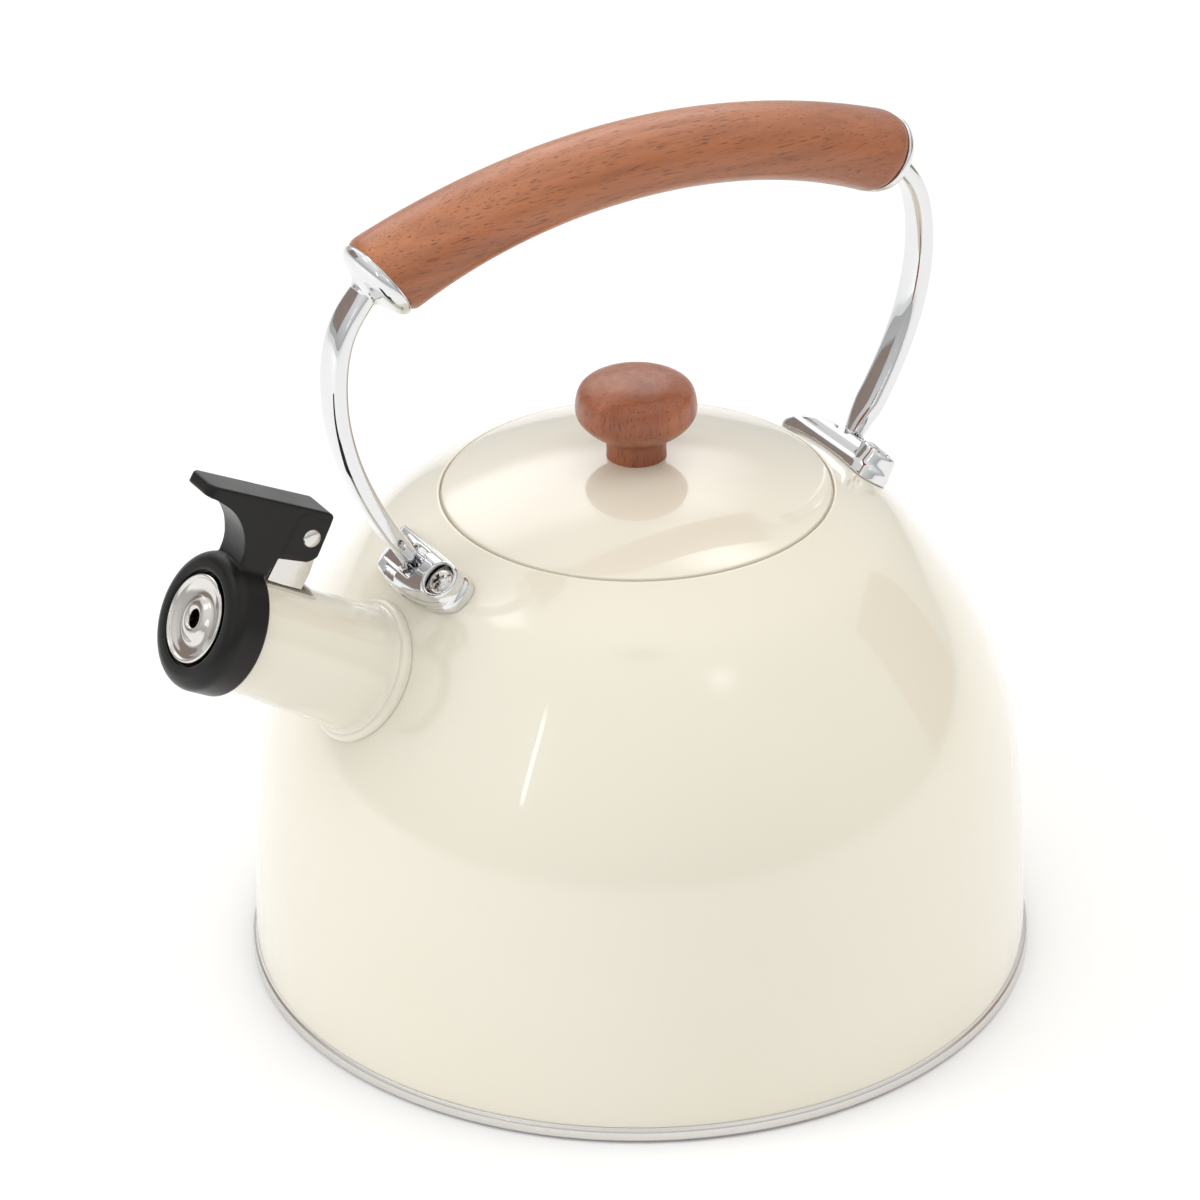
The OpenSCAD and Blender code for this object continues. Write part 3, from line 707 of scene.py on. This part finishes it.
# %% Bracket screws
CROSS_HALF, CROSS_W, CROSS_FLOOR = 2.2, 0.5, 4.7


def pan_head_screw():
    head = turned([(0, -9), (SCREW_R, -9), (SCREW_R, SEAT_HOLE_Z), (3.9, SEAT_HOLE_Z)]
                  + smooth([(3.9, 4.4), (3.55, 5.2), (2.5, 5.9), (1.2, 6.22), (0, 6.3)], 5),
                  64, closed=False)
    bars = []
    for quarter in (25, 115):
        bar = block(-CROSS_HALF, CROSS_HALF, -CROSS_W, CROSS_W, CROSS_FLOOR, 8)
        for v in bar.verts:
            if v.co.z < CROSS_FLOOR + 0.1:
                v.co.x, v.co.y = v.co.x * 0.6, v.co.y * 0.7
        bars.append(set_at(bar, Matrix.Rotation(math.radians(quarter), 4, "Z")))
    return set_at(combined(head, *bars), screw_place)


for end in ("front", "rear"):
    finish_piece(pan_head_screw(), end + "_pan_head_screw", "kettle", polished,
                 [end + "_bracket_screw"], mirrored=end == "rear", sharp=32)

# %% [markdown]
# An arm is one chromed bar that sweeps up and out from its pivot and back in to the grip. Its section
# is a rounded oblong, so a broad outer face and a side face meet along a soft ridge. The bar is a ring
# of edges extruded from station to station along the curve, each ring turned across it.


# %% Swept shapes
def section(x, z, angle, a, b, square=2.0, sides=56):
    """A ring across a path that runs at angle in the XZ plane: half sizes a across and b in Y."""
    ring = []
    for i in range(sides):
        t = 2 * math.pi * (i + 0.5) / sides
        c, s = math.cos(t), math.sin(t)
        u = a * math.copysign(abs(c) ** (2 / square), c)
        v = b * math.copysign(abs(s) ** (2 / square), s)
        ring.append(Vector((x - u * math.sin(angle), v, z + u * math.cos(angle))))
    return ring


def mix(a, b, t):
    """From a to b as t goes from 0 to 1."""
    return a + (b - a) * t


# %% [markdown]
# The arm is thin and round at its eye, grows to a broad oblong within the first sixth of its length,
# and turns rounder again over the last fifth, where it widens into a small collar under the cap. Its
# size at the eye, the bar and the neck is given as half across, half along Y, and how square it is.

# %% Arms
END_TILT = math.radians(33)
GRIP_X, GRIP_Z, GRIP_BEND = 76.3, 236.8, 196.0
grip_turn = math.asin(GRIP_X / GRIP_BEND)
end_dir = Vector((-math.cos(END_TILT), -math.sin(END_TILT)))
grip_end = Vector((-GRIP_X, GRIP_Z - GRIP_BEND * (1 - math.cos(grip_turn))))
FERRULE_T = 4.0
arm_top = grip_end + end_dir * FERRULE_T
arm_path = smooth([(-PIVOT_X, PIVOT_Z), (-72.4, 141), (-77.6, 149), (-83.4, 160), (-88, 172), (-90.6, 184),
                   (-91, 195), (-89.6, 204.5), (-86.6, 211.5), tuple(arm_top + end_dir * 2),
                   tuple(arm_top)], 9)
EYE_R, EYE_BORE, EYE_LONG, EYE_EDGE = 2.3, 1.25, 2.2, 0.4
TENON_R, TENON_LONG, COLLAR = 2.8, 15, 0.9
GROWS_TILL, ROUNDS_FROM, COLLAR_FROM = 0.16, 0.8, 0.965
AT_EYE, AT_BAR, AT_NECK = (2.2, 2.3, 2.0), (2.6, 4.8, 3.3), (3.2, 4.0, 2.2)


def bail_arm():
    """The swept bar, the round eye at its foot and the tenon that goes into the grip."""
    last = len(arm_path) - 1
    rings = []
    for i, p in enumerate(arm_path):
        d = arm_path[min(i + 1, last)] - arm_path[max(i - 1, 0)] if i < last else -end_dir
        q = i / last
        low, top = min(1, q / GROWS_TILL), max(0, (q - ROUNDS_FROM) / (1 - ROUNDS_FROM))
        ease = top * top * (3 - 2 * top)
        widen = COLLAR * max(0, (q - COLLAR_FROM) / (1 - COLLAR_FROM)) ** 2
        a, b, square = [mix(mix(foot, bar, low), neck, ease)
                        for foot, bar, neck in zip(AT_EYE, AT_BAR, AT_NECK)]
        rings.append(section(p.x, p.y, math.atan2(d.y, d.x), a + widen, b + widen, square))
    eye = turned(rounded([(EYE_BORE, -EYE_LONG), (EYE_R, -EYE_LONG), (EYE_R, EYE_LONG), (EYE_BORE, EYE_LONG)],
                         {1: EYE_EDGE, 2: EYE_EDGE}), 48)
    set_at(eye, Matrix.Translation((-PIVOT_X, 0, PIVOT_Z)) @ Matrix.Rotation(math.pi / 2, 4, "Y"))
    tenon = set_at(bore(TENON_R, -2, TENON_LONG, 32), Matrix.Translation((grip_end.x, 0, grip_end.y))
                   @ Matrix.Rotation(math.pi / 2 - END_TILT, 4, "Y"))
    return joined(loft(rings), eye, tenon)


for end in ("front", "rear"):
    finish_piece(bail_arm(), end + "_bail_arm", "handle", chrome, [end + "_arm"],
                 mirrored=end == "rear", sharp=50)

# %% [markdown]
# An oval chromed cap finishes each end of the grip. A narrow groove parts it from the wood, its edge
# is well rounded, and its face draws in to the neck of the arm.

# %% Grip caps
CAP_DEEP, CAP_WIDE = 11.2, 13
CAP_SHAPE = [(0.0, 0.93), (0.42, 0.93), (0.45, 0.97), (0.55, 0.99), (0.8, 1), (1.3, 1), (2.0, 0.985),
             (2.7, 0.95), (3.3, 0.90), (3.9, 0.83), (4.4, 0.74), (4.75, 0.65), (5.0, 0.56), (5.3, 0.48),
             (5.8, 0.40), (6.6, 0.34), (7.4, 0.30)]


def grip_cap():
    """Rings up the cap's axis; CAP_SHAPE gives the height and the share of the full size."""
    return loft([section(*(grip_end + end_dir * h), math.pi + END_TILT, CAP_DEEP * k, CAP_WIDE * k, sides=80)
                 for h, k in CAP_SHAPE])


for end in ("front", "rear"):
    finish_piece(grip_cap(), end + "_grip_cap", "handle", chrome, [end + "_ferrule"],
                 mirrored=end == "rear", sharp=60)

# %% [markdown]
# The grip is bent from one length of wood, oval across, and swells towards its ends, where the edge
# is broken so that a fine shadow shows against the cap.

# %% Grip
GRIP_STATIONS = 80
GRIP_DEEP, GRIP_WIDE, SWELL_DEEP, SWELL_WIDE, GRIP_SQUARE = 10, 11.8, 1.4, 1.5, 2.12
EDGE_FROM, EDGE_WEAR = 0.97, 0.06


def bent_grip():
    """Rings round an arc of radius GRIP_BEND, from one end of the grip (q = -1) to the other (q = 1)."""
    rings = []
    for k in range(-GRIP_STATIONS, GRIP_STATIONS + 1):
        q = k / GRIP_STATIONS
        turn = grip_turn * q
        flare = (END_TILT - grip_turn) * abs(q) ** 5 * math.copysign(1, q)
        worn = 1 - EDGE_WEAR * max(0, (abs(q) - EDGE_FROM) / (1 - EDGE_FROM)) ** 2.4
        a = (GRIP_DEEP + SWELL_DEEP * abs(q) ** 3) * worn
        b = (GRIP_WIDE + SWELL_WIDE * abs(q) ** 3) * worn
        rings.append(section(GRIP_BEND * math.sin(turn), GRIP_Z - GRIP_BEND * (1 - math.cos(turn)),
                             -turn - flare, a, b, GRIP_SQUARE, 72))
    return loft(rings)


finish_piece(bent_grip(), "grip_wood_bow", "handle", grip_wood, ["grip"], sharp=60)

# %% [markdown]
# The whistle is one black moulding: a deep ring that closes over the spout's mouth, and a lever with
# a thumb plate on top, a hollow front edge and a heel that holds the hinge. The ring is turned and
# leans back a little on the spout. The lever is its side outline extruded across, and a pocket for
# the bracket's ears is cut from below.

# %% Whistle cap
CAP_BACK, CAP_FRONT, CAP_R, RECESS_R, CAP_BORE = 46.0, 57.0, 18.8, 12.9, 15.85
CAP_LEAN, CAP_DEPTH, CAP_ROUND, RECESS_DEPTH = -3.5, 6.4, 3.9, 3.4
cap_place = (spout_place() @ Matrix.Translation((0, 0, CAP_BACK))
             @ Matrix.Rotation(math.radians(CAP_LEAN), 4, "Y") @ Matrix.Translation((0, 0, -CAP_BACK)))
cap_ring = [(RECESS_R - 3, CAP_BACK + CAP_DEPTH), (CAP_BORE, CAP_BACK + CAP_DEPTH), (CAP_BORE, CAP_BACK),
            (CAP_R, CAP_BACK), *arc((CAP_R - CAP_ROUND, CAP_FRONT - CAP_ROUND), CAP_ROUND, 0, 82, 14),
            (RECESS_R + 0.35, CAP_FRONT), (RECESS_R, CAP_FRONT - 0.35),
            (RECESS_R, CAP_FRONT - RECESS_DEPTH), (RECESS_R - 3, CAP_FRONT - RECESS_DEPTH)]
cap_shape = set_at(turned(rounded(cap_ring, {3: 0.8}), 128), cap_place)
print("whistle cap:", len(cap_shape.faces), "faces")

# %% [markdown]
# The lever's side outline is drawn in the spout's frame: height above the spout's axis, then place
# along it. The corners of the thumb plate's front edge are cut off by two blocks turned by 45 degrees.
# The cap, the lever and a thin raised panel round the hinge are then made one even skin of small
# faces, and smoothing that skin softens every edge, as on a moulded part.

# %% Whistle lever
TIP_S, TIP_CHAMFER, CUTTER, LEVER_W, PIN_HOLE_R = 74.6, 1.7, 6.0, 12.4, 1.5
PANEL_PROUD, POCKET_HALF, POCKET_START, POCKET_END, POCKET_LOW, POCKET_TOP = 0.5, 4.7, 30, 44.9, 14, 36
TIP_LOW, TIP_HIGH = 20, 45
MOULD_VOXEL, MOULD_PASSES = 0.33, 4
lever_front = smooth([(32.4, 72.2), (31.4, 66.5), (29.6, 62.4), (26.2, 58.6), (21.4, 56), (15.8, 55.2)], 6)
lever_side = rounded([(15.8, 46.6), (22.9, 45.7), (24.5, 36.6), (26.4, 34.4), (38.6, 35.4), (39.0, 36.9),
                      (35.5, TIP_S), (32.4, TIP_S)],
                     {2: 0.4, 3: 2.2, 4: 1.0, 6: 0.5, 7: 0.4}, 5) + lever_front[1:]
panel_side = [(24.7, 45.2), (25.0, 37.0), (26.8, 34.9), (36.4, 35.7), (36.7, 43.6), (35.5, 45.2)]
hinge_place = Matrix.Translation((HINGE_H, 0, HINGE_S)) @ Matrix.Rotation(math.pi / 2, 4, "X")


def pocket():
    """The room for the bracket's ears under the lever."""
    return block(POCKET_LOW, POCKET_TOP, -POCKET_HALF, POCKET_HALF, POCKET_START, POCKET_END)


def corner_block(side):
    """A block turned by 45 degrees that cuts one corner off the thumb plate's front edge."""
    diagonal = Vector((0, side, 1)).normalized()
    middle = Vector((0, side * LEVER_W / 2, TIP_S)) + diagonal * (CUTTER - TIP_CHAMFER / math.sqrt(2))
    return set_at(block(TIP_LOW, TIP_HIGH, -CUTTER, CUTTER, -CUTTER, CUTTER),
                  Matrix.Translation(middle) @ Matrix.Rotation(math.radians(45), 4, "X"))


lever = combined(plate(lever_side, LEVER_W), pocket(), set_at(bore(PIN_HOLE_R, -12, 12, 32), hinge_place))
lever = set_at(combined(lever, corner_block(-1), corner_block(1)), spout_place())
lever = combined(lever, set_at(bore(CAP_BORE, CAP_BACK - 10, CAP_BACK + CAP_DEPTH, 128), cap_place),
                 set_at(bore(RECESS_R, CAP_BACK + 6, 90, 128), cap_place))
panel = set_at(combined(plate(panel_side, LEVER_W + PANEL_PROUD), pocket()), spout_place())
moulding = remeshed(joined(cap_shape, lever, panel), MOULD_VOXEL, MOULD_PASSES)
finish_piece(moulding, "whistle_moulding", "whistle", plastic, ["whistle_lever"],
             sharp=180)

# %% [markdown]
# A dished steel disc sits in the recess: a bright rolled rim, a shallow dip, and a raised ridge round
# the hole that sings. Its underside is the same curve moved in by the sheet's thickness.

# %% Whistle disc
DISC_WIDEN, DISC_OUT, DISC_SHEET, HOLE_EDGE = 1.07, 0.9, 0.55, 4
RIM_R, RIM_H, RIM_SHEET = 11.7, 56.2, Vector((-0.45, -0.05))
dish = smooth([(2.4, 55.2), (2.55, 56.0), (3.3, 56.5), (4.3, 56.35), (5.2, 55.7), (6.0, 55.05), (7.0, 54.8),
               (8.4, 55.1), (9.4, 55.55), (10.0, 55.75), (10.25, 56.05), (10.7, 56.4), (11.1, 56.1),
               (11.2, 55.6), (11.2, 53.6)], 5)
dish = [Vector((p.x * DISC_WIDEN if p.x > HOLE_EDGE else p.x, p.y + DISC_OUT)) for p in dish]
under = [p + (RIM_SHEET if p.y < RIM_H and p.x > RIM_R else Vector((0, -DISC_SHEET)))
         for p in reversed(dish)]
finish_piece(turned(dish + under, 128), "whistle_dish", "whistle", polished,
             ["whistle_front_disc"], place=cap_place, sharp=60)

# %% [markdown]
# A steel pin with domed heads is the hinge.

# %% Hinge pin
HALF_W = LEVER_W / 2
dome_head = smooth([(2.6, HALF_W), (2.58, HALF_W + 0.25), (2.2, HALF_W + 0.75), (1.3, HALF_W + 1.13),
                    (0, HALF_W + 1.25)], 5)
pin = [Vector((p.x, -p.y)) for p in reversed(dome_head)]
pin += [Vector((PIN_HOLE_R, -HALF_W)), Vector((PIN_HOLE_R, HALF_W)), *dome_head]
finish_piece(turned(pin, 64, closed=False), "hinge_rivet", "whistle", polished,
             ["hinge_pin"], place=spout_place() @ hinge_place, sharp=50)

# %% [markdown]
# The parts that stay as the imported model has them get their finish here: the base and the heat
# spreader, the lid's locating ring, and the small pins, bosses and screws.

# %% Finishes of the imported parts
kept = {spun: ["base_cover", "lid_skirt"],
        spreader: ["heat_spreader"],
        polished: ["front_weld_boss", "rear_weld_boss", "front_pivot_pin", "rear_pivot_pin",
                   "front_grip_pin", "rear_grip_pin", "knob_screw", "knob_washer", "whistle_rear_disc"]}
for finish, names in kept.items():
    for name in names:
        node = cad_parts[name]
        node.data.materials.clear()
        node.data.materials.append(finish)
print("finished:", sum(len(names) for names in kept.values()), "packed parts")

# %% [markdown]
# The kettle stands on a white floor that runs out of sight, so nothing but its own soft shadow shows
# where it stands.


# %% Floor
FLOOR_SIZE = 12


def stage_plane(name, width, height, place, material):
    """A flat sheet that belongs to the studio and not to the kettle, with its own UV map."""
    bm = bmesh.new()
    bm.loops.layers.uv.new("UVMap")
    bmesh.ops.create_grid(bm, x_segments=1, y_segments=1, size=0.5, calc_uvs=True)
    bmesh.ops.scale(bm, vec=(width, height, 1), verts=bm.verts)
    obj = as_object(bm, name)
    obj.matrix_world = place
    obj.data.materials.append(material)
    print("staged:", name)
    return obj


paper, _, _ = new_finish("floor_white", Base_Color=(0.98, 0.98, 0.98, 1), Roughness=0.6,
                         Specular_IOR_Level=0.2)
stage_plane("floor", FLOOR_SIZE, FLOOR_SIZE, Matrix.Identity(4), paper)

# %% [markdown]
# Three large softboxes light the kettle: one nearly overhead, a strong one on the left, and a weaker
# and warmer one on the right. A lamp's own reflection would be a hard bright shape on the enamel, so
# the lamps are hidden from reflections, and the cards below are what shows there.


# %% Softboxes
LAMP_DISTANCE, WHITE, WARM = 1.9, (1, 1, 1), (1.0, 0.87, 0.70)
AIM = Vector((0, 0, 0.12))


def look_at(place):
    """A matrix at place whose -Z points at the kettle."""
    place = Vector(place)
    return Matrix.Translation(place) @ (AIM - place).to_track_quat("-Z", "Y").to_matrix().to_4x4()


def round_axis(azimuth, elevation, distance):
    """A point round the kettle; azimuth 0 is on the -Y side, as for the camera."""
    a, e = math.radians(azimuth), math.radians(elevation)
    return (distance * math.sin(a) * math.cos(e), -distance * math.cos(a) * math.cos(e),
            distance * math.sin(e) + TARGET.z)


def softbox(name, azimuth, elevation, width, height, power, colour):
    """A large soft lamp that reflections don't see."""
    lamp = bpy.data.lights.new(name, "AREA")
    lamp.shape, lamp.size, lamp.size_y, lamp.energy = "RECTANGLE", width, height, power
    lamp.color = colour
    obj = bpy.data.objects.new(name, lamp)
    bpy.context.scene.collection.objects.link(obj)
    obj.matrix_world = look_at(round_axis(azimuth, elevation, LAMP_DISTANCE))
    obj.visible_glossy = False
    print("softbox:", name, power, "W")


softbox("top_box", 20, 80, 1.6, 1.6, power=7.6, colour=WHITE)
softbox("left_box", -110, 30, 1.0, 1.4, power=9.0, colour=WHITE)
softbox("right_box", 70, 32, 1.0, 1.4, power=3.6, colour=WARM)

# %% [markdown]
# Glossy enamel and chrome show the room round them. Cards stand in for it: white ones that glow make
# the highlights, and taupe and tan ones make the darker bands in the chrome. Only reflections see
# them, and each fades out towards its edges, as far as its soft value says, so that no highlight
# ends in a hard line.


# %% Reflection cards
TAUPE, TAN = (0.30, 0.245, 0.215), (0.34, 0.22, 0.13)


def card_finish(name, colour, glow, soft):
    """A card's material: it shines or stays dull, and fades out towards its edges."""
    finish, tree, shader = new_finish(name, Base_Color=(*colour, 1), Roughness=0.9, Specular_IOR_Level=0.0,
                                      Emission_Color=(*colour, 1), Emission_Strength=glow)
    spot = add(tree, "SeparateXYZ", {"Vector": add(tree, "TexCoord").outputs["UV"]})
    fades = []
    for axis in ("X", "Y"):
        off = add(tree, "Math", {0: spot.outputs[axis], 1: 0.5}, operation="SUBTRACT")
        far = add(tree, "Math", {0: off.outputs[0]}, operation="ABSOLUTE")
        fade = add(tree, "MapRange", {"Value": far.outputs[0], "From Min": 0.5,
                                      "From Max": 0.5 - soft / 2, "To Min": 0.0, "To Max": 1.0},
                   interpolation_type="SMOOTHSTEP")
        fades.append(fade.outputs["Result"])
    strength = add(tree, "Math", {0: fades[0], 1: fades[1]}, operation="MULTIPLY")
    clear = add(tree, "BsdfTransparent")
    blend = add(tree, "MixShader", {"Fac": strength.outputs[0], 1: clear.outputs["BSDF"],
                                    2: shader.outputs["BSDF"]})
    tree.links.new(blend.outputs["Shader"], tree.nodes["Material Output"].inputs["Surface"])
    return finish


def card(name, azimuth, elevation, distance, width, height, colour, glow=0.0, soft=0.5):
    """A card that only reflections see."""
    obj = stage_plane(name, width, height, look_at(round_axis(azimuth, elevation, distance)),
                      card_finish(name, colour, glow, soft))
    obj.visible_camera = obj.visible_diffuse = obj.visible_shadow = False


card("strip_left", -67, 28, 1.9, 0.05, 0.75, WHITE, glow=4.5, soft=0.4)
card("glow_left", -125, 58, 1.9, 0.7, 0.5, WHITE, glow=1.6, soft=0.7)
card("glow_back", 160, 38, 1.9, 1.9, 1.25, WHITE, glow=1.05, soft=0.5)
card("glow_over", 118, 60, 1.9, 1.1, 0.8, WHITE, glow=1.9, soft=0.9)
card("glow_front", 6, 45, 1.9, 0.45, 0.4, WHITE, glow=1.4, soft=1.0)
card("room_right", 80, 14, 1.9, 0.95, 1.0, TAN, soft=0.12)
card("taupe_back", -148, 20, 1.7, 1.0, 0.85, TAUPE, soft=0.15)
card("taupe_above", -28, 62, 1.7, 0.7, 0.5, TAUPE, soft=1.0)

# %% [markdown]
# The world fills in the rest: grey at the horizon and lighter overhead, as in a white studio.

# %% World
world = bpy.data.worlds.new("studio")
bpy.context.scene.world = world
world.use_nodes = True
tree, sky = world.node_tree, world.node_tree.nodes["Background"]
upward = add(tree, "SeparateXYZ", {"Vector": add(tree, "TexCoord").outputs["Generated"]})
tree.links.new(ramp(tree, upward.outputs["Z"], [(0.0, grey(0.50)), (0.25, grey(0.64)), (0.8, grey(0.95))]),
               sky.inputs["Color"])
sky.inputs["Strength"].default_value = 1.0
bpy.context.scene.view_settings.view_transform = "Standard"
print("world:", world.name)
